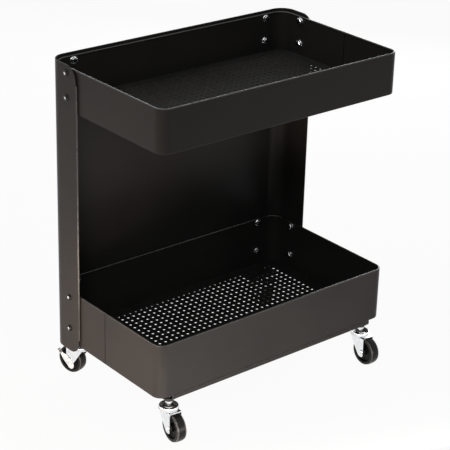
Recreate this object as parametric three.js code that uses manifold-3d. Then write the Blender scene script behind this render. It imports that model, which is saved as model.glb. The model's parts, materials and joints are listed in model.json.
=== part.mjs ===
// Two-tray rolling file cart in black sheet steel.
// Sizes are in millimetres. +Z is up, the open front faces -Y, and the origin is on the floor
// under the middle of the cart.
import * as THREE from "three";
import { mergeVertices } from "three/addons/utils/BufferGeometryUtils.js";
import Module from "manifold-3d";

const wasm = await Module();
wasm.setup();

// Sheet thicknesses and fits
const sheet = 1.5;
const floorSheet = 1.2;
const forkSheet = 2.2;
const clearance = 0.3;

// Back panel: one sheet, bent forward at both sides, with a lip down each front edge
const panelWidth = 500;
const panelHeight = 510.8;
const panelBend = 27;
const panelRise = 4.8;
const panelDrop = 14.5;
const flangeDepth = 80;
const flangeTopRadius = 27;
const flangeBottomRadius = 26;
const lipBend = 3;
const lipRelief = 4;

// Trays: a bent wall strip with a hemmed rim and a ledge that carries the floor
const sideGap = 4;
const trayDepth = 293;
const trayFrontCorner = 18;
const trayBackCorner = 25;
const upperTrayHeight = 73;
const lowerTrayHeight = 96;
const rimHeight = 3.2;
const rimThickness = 3;
const ledgeWidth = 12;
const floorColumns = 12;
const floorRows = 7;
const floorColumnPitch = 38;
const floorRowPitch = 38;
const floorOpening = 14;
const seamWidth = 0.8;
const seamDepth = 0.5;

// Screws and nuts that hold the trays in the panel
const screwRadius = 3;
const screwHeadRadius = 5;
const screwHeadHeight = 2.8;
const screwRecessRadius = 1.8;
const screwRecessDepth = 1.8;
const screwTip = 1.5;
const nutFlats = 10;
const nutHeight = 5;
const bossRadius = 7;
const sideScrewInset = 50;
const backScrewInset = 46;
const topScrewDrop = 9.2;

// Front channel and rear brackets under the lower tray, which carry the casters
const channelHeight = 9;
const channelWidth = 44;
const channelEndInset = 28;
const bracketLength = 53;
const stemEndInset = 32.5;
const earRadius = 13.5;
const socketHeight = 7;
const socketTopRadius = 13;
const socketTipRadius = 7.4;

// Casters: the two rows of stems stand evenly about the origin, and the trays a little behind it
const stemRowSpacing = 250.8;
const trayShift = 5;
const wheelRadius = 25;
const wheelWidth = 17;
const wheelSideGap = 1.5;
const wheelTopGap = 1;
const treadEdge = 2.4;
const rimInnerRadius = 19;
const webThickness = 7;
const hubRadius = 7;
const axleRadius = 2.5;
const axleHeadRadius = 4.2;
const axleHeadHeight = 1.2;
const trail = 18.3;
const crownReach = 22.5;
const crownBrim = 4.6;
const legRear = 11.5;
const legEndRadius = 4.5;
const legEndDrop = 5;
const legHeel = [-3, 28];
const bowlFootRadius = 10;
const bowlWall = 2;
const bowlRim = 1.5;
const stemRadius = 6.25;
const stemShow = 11.3;
const stemHeadroom = 2.5;
const stemRingRadius = 7.6;
const stemRingHeight = 1.4;
const raceHeight = 2.5;
const neckRadius = 4.2;
const neckHeadRadius = 5.8;
const neckHeadHeight = 1.6;
const casterAngles = { front_left: -5.5, front_right: -1, rear_left: 195, rear_right: 172 };

// Brake levers on the axles of the rear casters
const leverSheet = 1.8;
const leverRise = 44;
const leverTail = 10;
const leverHalfWidth = 6.5;
const leverShoulder = 8;
const leverNeck = 17;
const leverNeckDrop = 4.6;
const leverReach = 26.5;
const pedalLift = 3.4;
const pedalWidth = 9;

// Drawing detail
const bendSteps = 3;
const roundSteps = 22;
const smallSteps = 8;
const boreSteps = 6;
const cutMargin = 2;
const weldDistance = 1e-4;

// Heights from the floor up
const crownBottom = 2 * wheelRadius + wheelTopGap;
const crownTop = crownBottom + forkSheet;
const bowlTop = crownTop + bowlRim;
const channelBottom = bowlTop + stemShow + socketHeight;
const lowerTrayBottom = channelBottom + channelHeight;
const panelBottom = lowerTrayBottom - panelDrop;
const panelTop = panelBottom + panelHeight;
const upperTrayBottom = panelTop - panelRise - upperTrayHeight;

// Places in plan
const trayWidth = panelWidth - 2 * sideGap;
const trayBack = trayDepth / 2;
const panelBack = trayBack + sheet;
const panelFront = panelBack - flangeDepth;
const lipTip = trayWidth / 2 + clearance;
const channelEnd = trayWidth / 2 - channelEndInset;
const bracketInner = channelEnd - bracketLength;
const stemX = trayWidth / 2 - stemEndInset;
const stemY = stemRowSpacing / 2;

const trays = [
  {
    name: "upper", bottom: upperTrayBottom, height: upperTrayHeight, lowScrewRise: 22.5,
    seamSide: 1, seamY: -15,
  },
  {
    name: "lower", bottom: lowerTrayBottom, height: lowerTrayHeight, lowScrewRise: 28.5,
    seamSide: -1, seamY: 1,
  },
];

// Materials
const blackSteel = new THREE.MeshStandardMaterial({ color: 0x2b2828, roughness: 0.45, metalness: 0.1 });
const floorSteel = new THREE.MeshStandardMaterial({ color: 0x242222, roughness: 0.5, metalness: 0.1 });
const darkZinc = new THREE.MeshStandardMaterial({ color: 0x3a3a3c, roughness: 0.3, metalness: 0.9 });
const brightZinc = new THREE.MeshStandardMaterial({ color: 0xc8ccd0, roughness: 0.25, metalness: 1 });
const blackRubber = new THREE.MeshStandardMaterial({ color: 0x1a1918, roughness: 0.6, metalness: 0 });

// A closed solid from a geometry: shared corners are welded and empty triangles left out
function solid(geometry) {
  const bare = geometry.clone();
  bare.deleteAttribute("normal");
  bare.deleteAttribute("uv");
  const welded = mergeVertices(bare, weldDistance);
  const index = welded.index.array;
  const triangles = [];
  for (let i = 0; i < index.length; i += 3) {
    const [a, b, c] = [index[i], index[i + 1], index[i + 2]];
    if (a !== b && b !== c && c !== a) triangles.push(a, b, c);
  }
  return new wasm.Manifold(new wasm.Mesh({
    numProp: 3,
    vertProperties: new Float32Array(welded.attributes.position.array),
    triVerts: new Uint32Array(triangles),
  }));
}

function meshOf(name, body, material) {
  const data = body.getMesh();
  const geometry = new THREE.BufferGeometry();
  geometry.setAttribute("position", new THREE.BufferAttribute(new Float32Array(data.vertProperties), 3));
  geometry.setIndex(new THREE.BufferAttribute(new Uint32Array(data.triVerts), 1));
  geometry.computeVertexNormals();
  const mesh = new THREE.Mesh(geometry, material);
  mesh.name = name;
  return mesh;
}

function joined(bodies) {
  return bodies.reduce((sum, body) => sum.add(body));
}

function cutBy(body, cutters) {
  return cutters.reduce((rest, cutter) => rest.subtract(cutter), body);
}

// A flat plate of the given outline, standing on the height "base"
function plate(shape, thickness, base, steps = bendSteps) {
  const settings = { depth: thickness, bevelEnabled: false, curveSegments: steps };
  return new THREE.ExtrudeGeometry(shape, settings).translate(0, 0, base);
}

function block(low, high) {
  const size = high.map((value, axis) => value - low[axis]);
  const middle = high.map((value, axis) => (value + low[axis]) / 2);
  return new THREE.BoxGeometry(...size).translate(...middle);
}

// An outline drawn in Y and Z, extruded along X
function sidePlate(shape, thickness, base, steps = bendSteps) {
  const turn = new THREE.Matrix4().makeBasis(
    new THREE.Vector3(0, 1, 0), new THREE.Vector3(0, 0, 1), new THREE.Vector3(1, 0, 0));
  return plate(shape, thickness, base, steps).applyMatrix4(turn);
}

// A turned piece about Z: each profile point is a radius and a height
function turned(profile, steps) {
  const points = profile.map(([radius, height]) => new THREE.Vector2(radius, height));
  return new THREE.LatheGeometry(points, steps).rotateX(Math.PI / 2);
}

function rod(radius, low, high, steps) {
  return turned([[0, low], [radius, low], [radius, high], [0, high]], steps);
}

// The tray's plan, drawn in from its outside by an inset: its back corners are rounder than the front ones
function trayPlan(inset) {
  const [front, back] = [trayFrontCorner - inset, trayBackCorner - inset];
  const [x, y] = [trayWidth / 2 - inset, trayDepth / 2 - inset];
  const half = Math.PI / 2;
  const shape = new THREE.Shape();
  shape.moveTo(x - front, -y);
  shape.absarc(x - front, front - y, front, -half, 0);
  shape.absarc(x - back, y - back, back, 0, half);
  shape.absarc(back - x, y - back, back, half, 2 * half);
  shape.absarc(front - x, front - y, front, 2 * half, 3 * half);
  return shape;
}

function trayRing(wall, height, base) {
  const shape = trayPlan(0);
  shape.holes.push(trayPlan(wall));
  return solid(plate(shape, height, base));
}

function hexagon(flats, boreRadius) {
  const corner = flats / 2 / Math.cos(Math.PI / 6);
  const shape = new THREE.Shape();
  for (let i = 0; i < 6; i += 1) {
    const angle = (i * Math.PI) / 3;
    const point = [corner * Math.cos(angle), corner * Math.sin(angle)];
    if (i === 0) shape.moveTo(...point);
    else shape.lineTo(...point);
  }
  shape.closePath();
  const bore = new THREE.Path();
  bore.absarc(0, 0, boreRadius, 0, 2 * Math.PI);
  shape.holes.push(bore);
  return shape;
}

// Screw places: one for each height, at the two flanges and at the two ends of the back
function screwPlaces() {
  const places = [];
  const sideY = panelBack - sideScrewInset;
  for (const tray of trays) {
    const rows = [
      ["top", tray.bottom + tray.height - topScrewDrop],
      ["low", tray.bottom + tray.lowScrewRise],
    ];
    for (const [row, z] of rows) {
      for (const [side, sign] of [["left", -1], ["right", 1]]) {
        places.push({
          name: `${tray.name}_${side}_side_${row}`,
          seat: new THREE.Vector3(sign * panelWidth / 2, sideY, z),
          outward: new THREE.Vector3(sign, 0, 0),
          grip: sideGap + sheet,
          boss: true,
        });
        places.push({
          name: `${tray.name}_${side}_back_${row}`,
          seat: new THREE.Vector3(sign * (panelWidth / 2 - backScrewInset), panelBack, z),
          outward: new THREE.Vector3(0, 1, 0),
          grip: 2 * sheet,
          boss: false,
        });
      }
    }
  }
  return places;
}

// Turns a piece made along +Z so that +Z is the screw's outward direction, and seats it there
function atScrew(geometry, place) {
  const turn = new THREE.Quaternion().setFromUnitVectors(new THREE.Vector3(0, 0, 1), place.outward);
  return geometry.applyQuaternion(turn).translate(place.seat.x, place.seat.y, place.seat.z);
}

function screwHole(place) {
  return solid(atScrew(rod(screwRadius + clearance, -place.grip - cutMargin, cutMargin, smallSteps), place));
}

// Back panel
function panelOutline() {
  const [bendX, bendY] = [panelWidth / 2 - panelBend, panelBack - panelBend];
  const [lipX, lipY] = [panelWidth / 2 - lipBend, panelFront + lipBend];
  const half = Math.PI / 2;
  const shape = new THREE.Shape();
  shape.moveTo(lipTip, panelFront);
  shape.absarc(lipX, lipY, lipBend, -half, 0);
  shape.absarc(bendX, bendY, panelBend, 0, half);
  shape.absarc(-bendX, bendY, panelBend, half, 2 * half);
  shape.absarc(-lipX, lipY, lipBend, 2 * half, 3 * half);
  shape.lineTo(-lipTip, panelFront);
  shape.lineTo(-lipTip, panelFront + sheet);
  shape.absarc(-lipX, lipY, lipBend - sheet, 3 * half, 2 * half, true);
  shape.absarc(-bendX, bendY, panelBend - sheet, 2 * half, half, true);
  shape.absarc(bendX, bendY, panelBend - sheet, half, 0, true);
  shape.absarc(lipX, lipY, lipBend - sheet, 0, -half, true);
  shape.lineTo(lipTip, panelFront + sheet);
  return shape;
}

// What is cut away to round a front corner of the flange: "up" is 1 at the top, -1 at the bottom
function flangeCornerCut(edge, radius, up) {
  const middle = edge - up * radius;
  const shape = new THREE.Shape();
  shape.moveTo(panelFront - cutMargin, edge + up * cutMargin);
  shape.lineTo(panelFront + radius, edge + up * cutMargin);
  shape.absarc(panelFront + radius, middle, radius, up * Math.PI / 2, up * Math.PI, up < 0);
  shape.lineTo(panelFront - cutMargin, middle);
  return shape;
}

function flangeCuts(side) {
  const base = side > 0 ? lipTip - cutMargin : -panelWidth / 2 - cutMargin;
  const width = panelWidth / 2 - lipTip + 2 * cutMargin;
  const cuts = [];
  for (const [edge, radius, up] of [[panelTop, flangeTopRadius, 1], [panelBottom, flangeBottomRadius, -1]]) {
    cuts.push(solid(sidePlate(flangeCornerCut(edge, radius, up), width, base, 2 * bendSteps)));
    const ends = [edge - up * radius, edge - up * (radius + lipRelief)].sort((a, b) => a - b);
    cuts.push(solid(block(
      [base, panelFront - cutMargin, ends[0]], [base + width, panelFront + lipBend, ends[1]])));
  }
  return cuts;
}

function backPanel(places) {
  const bosses = places.filter((place) => place.boss).map((place) => {
    return solid(atScrew(rod(bossRadius, -sideGap, -sheet / 2, smallSteps), place));
  });
  const body = joined([solid(plate(panelOutline(), panelHeight, panelBottom)), ...bosses]);
  return cutBy(body, [...flangeCuts(-1), ...flangeCuts(1), ...places.map(screwHole)]);
}

// Trays
function seamGroove(tray, face, depthSide) {
  const x = tray.seamSide * (trayWidth / 2 - face);
  const [near, far] = [tray.seamY - seamWidth / 2, tray.seamY + seamWidth / 2];
  return solid(block(
    [Math.min(x, x - depthSide * seamDepth), near, tray.bottom - cutMargin],
    [Math.max(x, x - depthSide * seamDepth), far, tray.bottom + tray.height + cutMargin]));
}

function trayWall(tray, places) {
  const top = tray.bottom + tray.height;
  const wall = joined([
    trayRing(sheet, tray.height, tray.bottom),
    trayRing(rimThickness, rimHeight, top - rimHeight),
    trayRing(ledgeWidth, sheet, tray.bottom),
  ]);
  const holes = places.filter((place) => place.name.startsWith(tray.name)).map(screwHole);
  return cutBy(wall, [seamGroove(tray, 0, tray.seamSide), ...holes]);
}

// A floor sheet with a plain grid of square openings
function trayFloor(tray) {
  const base = tray.bottom + sheet;
  const half = floorOpening / 2;
  const openings = [];
  for (let column = 0; column < floorColumns; column += 1) {
    for (let row = 0; row < floorRows; row += 1) {
      const x = (column - (floorColumns - 1) / 2) * floorColumnPitch;
      const y = (row - (floorRows - 1) / 2) * floorRowPitch;
      const low = [x - half, y - half, base - cutMargin];
      openings.push(solid(block(low, [x + half, y + half, base + floorSheet + cutMargin])));
    }
  }
  return cutBy(solid(plate(trayPlan(sheet + clearance), floorSheet, base)), openings);
}

// Screws and nuts
function screw(place) {
  const end = place.grip + nutHeight + screwTip;
  const shoulder = screwHeadHeight / 2;
  const floor = screwHeadHeight - screwRecessDepth;
  return solid(atScrew(turned([
    [0, -end], [screwRadius, -end], [screwRadius, 0], [screwHeadRadius, 0], [screwHeadRadius, shoulder],
    [(screwHeadRadius + screwRecessRadius) / 2, screwHeadHeight], [screwRecessRadius, screwHeadHeight],
    [screwRecessRadius, floor], [0, floor],
  ], smallSteps), place));
}

function nut(place) {
  const shape = hexagon(nutFlats, screwRadius + clearance);
  return solid(atScrew(plate(shape, nutHeight, -place.grip - nutHeight, boreSteps), place));
}

// A channel from one end to the other with a socket for each stem: "side" is -1 at the front, 1 at the rear
function casterChannel(side, start, end, stems) {
  const [near, far] = [side * trayDepth / 2, side * (trayDepth / 2 - channelWidth)];
  const [low, high] = [Math.min(near, far), Math.max(near, far)];
  const webTop = channelBottom + sheet;
  const socketTip = channelBottom - socketHeight;
  const parts = [
    solid(block([start, low, channelBottom], [end, high, webTop])),
    solid(block([start, low, channelBottom], [end, low + sheet, lowerTrayBottom])),
    solid(block([start, high - sheet, channelBottom], [end, high, lowerTrayBottom])),
  ];
  const bores = [];
  const y = side * stemY - trayShift;
  for (const x of stems) {
    const socket = [
      [0, socketTip], [socketTipRadius, socketTip],
      [socketTopRadius, channelBottom + sheet / 2], [0, channelBottom + sheet / 2],
    ];
    parts.push(solid(rod(earRadius, channelBottom, webTop, roundSteps).translate(x, y, 0)));
    parts.push(solid(turned(socket, roundSteps).translate(x, y, 0)));
    const bore = rod(stemRadius + clearance, socketTip - cutMargin, webTop + cutMargin, roundSteps);
    bores.push(solid(bore.translate(x, y, 0)));
  }
  return cutBy(joined(parts), bores);
}

// Casters, drawn with the stem on Z and the wheel trailing towards -Y
const forkInner = wheelWidth / 2 + wheelSideGap;
const forkOuter = forkInner + forkSheet;
const crownRadius = forkOuter + crownBrim;
const bowlRise = Math.sqrt(wheelRadius ** 2 - (trail - bowlFootRadius) ** 2);
const bowlBottom = wheelRadius + bowlRise + wheelTopGap;
const bowlFloor = bowlBottom + forkSheet;
const bowlOuter = crownRadius - clearance;
const raceBottom = bowlFloor + clearance;
const raceRadius = bowlFootRadius + bowlWall / 2;

function crownOutline() {
  const meet = Math.sqrt(crownRadius ** 2 - forkOuter ** 2);
  const angle = Math.atan2(-meet, forkOuter);
  const shape = new THREE.Shape();
  shape.moveTo(-forkOuter, -crownReach);
  shape.lineTo(forkOuter, -crownReach);
  shape.absarc(0, 0, crownRadius, angle, Math.PI - angle);
  return shape;
}

function legOutline() {
  const endHeight = wheelRadius - legEndDrop;
  const rearAngle = -Math.PI / 7;
  const shape = new THREE.Shape();
  shape.moveTo(legRear, crownTop);
  shape.lineTo(-crownReach, crownTop);
  shape.absarc(-trail, endHeight, legEndRadius, Math.PI, 2 * Math.PI + rearAngle);
  shape.lineTo(...legHeel);
  return shape;
}

function fork() {
  const leg = legOutline();
  const bowl = turned([
    [0, bowlBottom], [bowlFootRadius, bowlBottom], [bowlOuter, crownBottom],
    [bowlOuter, bowlTop], [0, bowlTop],
  ], roundSteps);
  const hollow = turned([
    [0, bowlFloor], [raceRadius + clearance, bowlFloor], [bowlOuter - bowlWall, bowlTop],
    [bowlOuter - bowlWall, bowlTop + cutMargin], [0, bowlTop + cutMargin],
  ], roundSteps);
  const axleBore = rod(axleRadius + clearance, -crownRadius, crownRadius, smallSteps);
  const body = joined([
    solid(plate(crownOutline(), forkSheet, crownBottom)),
    solid(sidePlate(leg, forkSheet, forkInner)),
    solid(sidePlate(leg, forkSheet, -forkOuter)),
    solid(bowl),
  ]);
  return cutBy(body, [
    solid(hollow),
    solid(rod(neckRadius + clearance, bowlBottom - cutMargin, bowlFloor + cutMargin, roundSteps)),
    solid(axleBore.rotateY(Math.PI / 2).translate(0, -trail, wheelRadius)),
  ]);
}

// The stem rests in its socket, held by a ring above the web
function stem() {
  const headTop = bowlBottom - clearance;
  const webTop = channelBottom + sheet;
  const ringTop = webTop + stemRingHeight;
  const top = lowerTrayBottom - stemHeadroom;
  return solid(turned([
    [0, headTop - neckHeadHeight], [neckHeadRadius, headTop - neckHeadHeight], [neckHeadRadius, headTop],
    [neckRadius, headTop], [neckRadius, raceBottom], [raceRadius, raceBottom],
    [raceRadius, raceBottom + raceHeight], [stemRadius, raceBottom + raceHeight], [stemRadius, webTop],
    [stemRingRadius, webTop], [stemRingRadius, ringTop], [stemRadius, ringTop], [stemRadius, top], [0, top],
  ], smallSteps));
}

// The axle rivet, longer at one side where a lever sits on it
function axle(extra) {
  const [near, far] = [-forkOuter - clearance, forkOuter + clearance + extra];
  const profile = [
    [0, near - axleHeadHeight], [axleHeadRadius, near - axleHeadHeight], [axleHeadRadius, near],
    [axleRadius, near], [axleRadius, far], [axleHeadRadius, far],
    [axleHeadRadius, far + axleHeadHeight], [0, far + axleHeadHeight],
  ];
  return solid(turned(profile, smallSteps).rotateY(Math.PI / 2).translate(0, -trail, wheelRadius));
}

// A point of the lever, by its distance from the axle along the lever and its height off that line
function leverPoint(along, lift) {
  const angle = THREE.MathUtils.degToRad(leverRise);
  const [forward, up] = [Math.cos(angle), Math.sin(angle)];
  return [-trail - along * forward + lift * up, wheelRadius + along * up + lift * forward];
}

function leverShape(points) {
  const shape = new THREE.Shape();
  points.forEach(([along, lift], index) => {
    if (index === 0) shape.moveTo(...leverPoint(along, lift));
    else shape.lineTo(...leverPoint(along, lift));
  });
  shape.closePath();
  return shape;
}

// The brake lever: a plate that turns on the axle outside the leg, with a pedal bent out at its upper end
function brakeLever() {
  const base = forkOuter + clearance;
  const half = leverHalfWidth;
  const round = half * Math.SQRT1_2;
  const underside = pedalLift - leverSheet;
  const blade = leverShape([
    [-leverTail, half], [-leverTail - round, round], [-leverTail - half, 0],
    [-leverTail - round, -round], [-leverTail, -half], [leverShoulder, -half],
    [leverNeck, -leverNeckDrop], [leverReach, underside], [leverReach, pedalLift], [leverNeck, pedalLift],
    [leverShoulder, half],
  ]);
  const pedal = leverShape([
    [leverNeck, underside], [leverReach, underside], [leverReach, pedalLift], [leverNeck, pedalLift],
  ]);
  const bore = rod(axleRadius + clearance, base - cutMargin, base + leverSheet + cutMargin, smallSteps);
  const body = joined([
    solid(sidePlate(blade, leverSheet, base)),
    solid(sidePlate(pedal, pedalWidth, base)),
  ]);
  return cutBy(body, [solid(bore.rotateY(Math.PI / 2).translate(0, -trail, wheelRadius))]);
}

function wheel() {
  const hub = forkInner - clearance;
  const side = wheelWidth / 2;
  const web = webThickness / 2;
  const bore = axleRadius + clearance;
  const half = [
    [bore, hub], [hubRadius, hub], [hubRadius, web], [rimInnerRadius - treadEdge / 2, web],
    [rimInnerRadius, side], [wheelRadius - treadEdge / 2, side], [wheelRadius, side - treadEdge],
  ];
  const mirrored = half.map(([radius, height]) => [radius, -height]);
  const profile = [...mirrored, ...half.reverse(), mirrored[0]];
  return solid(turned(profile, roundSteps).rotateY(Math.PI / 2).translate(0, -trail, wheelRadius));
}

// The whole cart: the body of panel, trays and channels, then the casters under it
const group = new THREE.Group();
const body = new THREE.Group();
body.position.y = trayShift;
group.add(body);
const places = screwPlaces();
body.add(meshOf("back_panel", backPanel(places), blackSteel));
for (const tray of trays) {
  body.add(meshOf(`${tray.name}_tray_wall`, trayWall(tray, places), blackSteel));
  body.add(meshOf(`${tray.name}_tray_floor`, trayFloor(tray), floorSteel));
}
for (const place of places) {
  body.add(meshOf(`screw_${place.name}`, screw(place), darkZinc));
  body.add(meshOf(`nut_${place.name}`, nut(place), brightZinc));
}
const frontChannel = casterChannel(-1, -channelEnd, channelEnd, [-stemX, stemX]);
body.add(meshOf("front_caster_channel", frontChannel, blackSteel));
const leftBracket = casterChannel(1, -channelEnd, -bracketInner, [-stemX]);
body.add(meshOf("rear_left_caster_bracket", leftBracket, blackSteel));
const rightBracket = casterChannel(1, bracketInner, channelEnd, [stemX]);
body.add(meshOf("rear_right_caster_bracket", rightBracket, blackSteel));
for (const [corner, heading] of Object.entries(casterAngles)) {
  const x = corner.endsWith("left") ? -stemX : stemX;
  const y = corner.startsWith("front") ? -stemY : stemY;
  const mount = new THREE.Group();
  mount.position.set(x, y, 0);
  mount.add(meshOf(`stem_${corner}`, stem(), brightZinc));
  const swivel = new THREE.Group();
  swivel.rotation.z = THREE.MathUtils.degToRad(heading);
  swivel.add(meshOf(`fork_${corner}`, fork(), brightZinc));
  const braked = corner.startsWith("rear");
  swivel.add(meshOf(`axle_${corner}`, axle(braked ? leverSheet + clearance : 0), brightZinc));
  if (braked) swivel.add(meshOf(`brake_lever_${corner}`, brakeLever(), brightZinc));
  swivel.add(meshOf(`wheel_${corner}`, wheel(), blackRubber));
  mount.add(swivel);
  group.add(mount);
}

export default group;
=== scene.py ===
# %% [markdown]
# # A rolling cart with two trays, in black sheet steel
# The real cart is one bent back panel, two open trays bolted into it, a channel and two brackets under
# the lower tray, and four small swivel casters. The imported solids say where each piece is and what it
# moves with. They could be kept and only painted, but sheet metal is known by its folds, rims and
# fasteners, so every piece is modelled again here, inside the box of its solid.

# %% Load the frame
import json
import math

import bmesh
import bpy
from mathutils import Matrix, Vector


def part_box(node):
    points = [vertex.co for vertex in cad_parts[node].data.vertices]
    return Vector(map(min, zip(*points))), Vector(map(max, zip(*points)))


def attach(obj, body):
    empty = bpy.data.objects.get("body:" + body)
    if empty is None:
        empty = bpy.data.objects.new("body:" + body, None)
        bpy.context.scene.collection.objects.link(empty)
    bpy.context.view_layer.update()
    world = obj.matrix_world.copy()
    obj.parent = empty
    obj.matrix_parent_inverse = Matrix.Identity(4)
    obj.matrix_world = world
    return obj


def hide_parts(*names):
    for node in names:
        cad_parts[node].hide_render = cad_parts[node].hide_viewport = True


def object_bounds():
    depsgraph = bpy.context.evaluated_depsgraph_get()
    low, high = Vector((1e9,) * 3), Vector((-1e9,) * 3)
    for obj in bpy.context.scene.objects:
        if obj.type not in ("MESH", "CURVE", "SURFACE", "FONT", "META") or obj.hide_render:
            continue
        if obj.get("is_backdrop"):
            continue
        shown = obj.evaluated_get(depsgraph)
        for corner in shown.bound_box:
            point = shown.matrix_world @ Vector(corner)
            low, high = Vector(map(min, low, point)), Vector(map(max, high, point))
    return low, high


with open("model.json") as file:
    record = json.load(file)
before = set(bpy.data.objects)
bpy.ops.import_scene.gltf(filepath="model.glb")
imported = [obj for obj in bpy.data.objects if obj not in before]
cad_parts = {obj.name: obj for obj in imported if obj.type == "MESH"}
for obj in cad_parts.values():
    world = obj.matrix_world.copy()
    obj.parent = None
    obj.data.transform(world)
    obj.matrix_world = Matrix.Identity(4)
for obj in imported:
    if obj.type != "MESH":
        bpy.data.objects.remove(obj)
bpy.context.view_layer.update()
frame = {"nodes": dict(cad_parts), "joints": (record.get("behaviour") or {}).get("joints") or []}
MM = 0.001

# %% [markdown]
# ## The camera
# The camera stands to the front left of the cart, a little above it, with a long lens. Its place was
# worked out from the straight edges of the trays. Three angles say where it looks: a turn about the
# upright axis, a tilt down, and a small roll. A matrix made of them is easier to correct than a
# tracking constraint, and it stays put when the cart moves.

# %% Set the camera
CAMERA_PLACE = Vector((-1.56568, -1.87369, 1.37426))
CAMERA_TURN = math.radians(-39.91)
CAMERA_TILT = math.radians(23.70)
CAMERA_ROLL = math.radians(1.64)
CAMERA_SENSOR = 36
CAMERA_LENS = 126.26
CAMERA_SHIFT = (-0.0035, -0.0354)


def camera_axes(turn, tilt, roll):
    """The camera's right, up and back axes, as a turning matrix."""
    level = math.cos(tilt)
    back = Vector((math.sin(turn) * level, -math.cos(turn) * level, math.sin(tilt)))
    right = Vector((0, 0, 1)).cross(back).normalized()
    upright = Matrix((right, back.cross(right), back)).transposed()
    return upright @ Matrix.Rotation(roll, 3, "Z")


camera_data = bpy.data.cameras.new("camera")
camera_data.sensor_width = CAMERA_SENSOR
camera_data.lens = CAMERA_LENS
camera_data.shift_x, camera_data.shift_y = CAMERA_SHIFT
camera = bpy.data.objects.new("camera", camera_data)
axes = camera_axes(CAMERA_TURN, CAMERA_TILT, CAMERA_ROLL)
camera.matrix_world = Matrix.LocRotScale(CAMERA_PLACE, axes, None)
bpy.context.scene.collection.objects.link(camera)
bpy.context.scene.camera = camera

# %% [markdown]
# ## Effects that several finishes share
# Powder coat, zinc and rubber all have a fine grain and a slow change of tone, and dust settles on
# whatever faces up. Both effects could be copied into every material. As node groups they are built only
# once, and every finish gives them its own scale. They read Object coordinates in metres: a scale of 900
# is a grain of about 1.1 mm.

# %% Node group helpers
def new_group(name, inputs, outputs):
    group = bpy.data.node_groups.new(name, "ShaderNodeTree")
    for socket, kind in inputs.items():
        group.interface.new_socket(socket, in_out="INPUT", socket_type=kind)
    for socket in outputs:
        group.interface.new_socket(socket, in_out="OUTPUT", socket_type="NodeSocketFloat")
    return group, group.nodes.new("NodeGroupInput"), group.nodes.new("NodeGroupOutput")


def add_noise(tree, place, scale, detail):
    noise = tree.nodes.new("ShaderNodeTexNoise")
    noise.inputs["Detail"].default_value = detail
    tree.links.new(place, noise.inputs["Vector"])
    tree.links.new(scale, noise.inputs["Scale"])
    return noise.outputs["Fac"]


def add_range(tree, value, low, high, out_low=0.0, out_high=1.0):
    spread = tree.nodes.new("ShaderNodeMapRange")
    spread.inputs["From Min"].default_value = low
    spread.inputs["From Max"].default_value = high
    spread.inputs["To Min"].default_value = out_low
    spread.inputs["To Max"].default_value = out_high
    tree.links.new(value, spread.inputs["Value"])
    return spread.outputs["Result"]


def add_product(tree, first, second):
    product = tree.nodes.new("ShaderNodeMath")
    product.operation = "MULTIPLY"
    tree.links.new(first, product.inputs[0])
    tree.links.new(second, product.inputs[1])
    return product.outputs["Value"]


# %% Grain and dust
GRAIN_DETAIL = 2
CLOUD_DETAIL = 4
CLOUD_SPREAD = (0.3, 0.7)
GRAIN_INPUTS = {"Place": "NodeSocketVector", "Grain": "NodeSocketFloat", "Cloud": "NodeSocketFloat"}
surface_grain, into, out_of = new_group("surface_grain", GRAIN_INPUTS, ("Height", "Tone"))
grain = add_noise(surface_grain, into.outputs["Place"], into.outputs["Grain"], GRAIN_DETAIL)
cloud = add_noise(surface_grain, into.outputs["Place"], into.outputs["Cloud"], CLOUD_DETAIL)
surface_grain.links.new(grain, out_of.inputs["Height"])
surface_grain.links.new(add_range(surface_grain, cloud, *CLOUD_SPREAD), out_of.inputs["Tone"])

DUST_DETAIL = 6
DUST_SPREAD = (0.4, 0.75)
DUST_SLOPE = (0.5, 1.0)
DUST_INPUTS = {"Place": "NodeSocketVector", "Speckle": "NodeSocketFloat", "Amount": "NodeSocketFloat"}
settled_dust, into, out_of = new_group("settled_dust", DUST_INPUTS, ("Mask",))
facing_parts = settled_dust.nodes.new("ShaderNodeSeparateXYZ")
surface = settled_dust.nodes.new("ShaderNodeNewGeometry")
settled_dust.links.new(surface.outputs["Normal"], facing_parts.inputs["Vector"])
upward = add_range(settled_dust, facing_parts.outputs["Z"], *DUST_SLOPE)
speckle = add_noise(settled_dust, into.outputs["Place"], into.outputs["Speckle"], DUST_DETAIL)
settled = add_product(settled_dust, upward, add_range(settled_dust, speckle, *DUST_SPREAD))
mask = add_product(settled_dust, settled, into.outputs["Amount"])
settled_dust.links.new(mask, out_of.inputs["Mask"])
print("node groups:", surface_grain.name, settled_dust.name)

# %% [markdown]
# ## The finishes
# The steel is powder coated: a satin black with the very fine orange-peel of baked paint. On folded
# edges the coat is thinner and gets rubbed, so rims, lips and bevels have a smoother paint, which is
# also painted lighter as a painted highlight, and the grooves of the welded seams are painted near
# black as painted shade. The screws are black zinc with recesses painted bright as a painted glint,
# the nuts and casters shiny zinc, which is never quite even, and the brake levers a duller zinc. The
# wheels are hard rubber on a moulded centre, with a band at the tread's edge painted lighter as a
# painted highlight. Each finish could have its own node tree. One function builds them all instead,
# because they differ only in two tones, in roughness and gloss, and in the size of the grain.

# %% A function for every finish
DUST_TONE = (0.30, 0.28, 0.26, 1)
DUST_SPECKLE = 60
RELIEF_STRENGTH = 0.5


def add_colour_mix(tree, factor, first, second):
    mix = tree.nodes.new("ShaderNodeMix")
    mix.data_type = "RGBA"
    tree.links.new(factor, mix.inputs[0])
    for colour, socket in ((first, mix.inputs[6]), (second, mix.inputs[7])):
        if isinstance(colour, tuple):
            socket.default_value = colour
        else:
            tree.links.new(colour, socket)
    return mix.outputs[2]


def add_effect(tree, group, place, **values):
    effect = tree.nodes.new("ShaderNodeGroup")
    effect.node_tree = group
    tree.links.new(place, effect.inputs["Place"])
    for name, value in values.items():
        effect.inputs[name].default_value = value
    return effect


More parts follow.
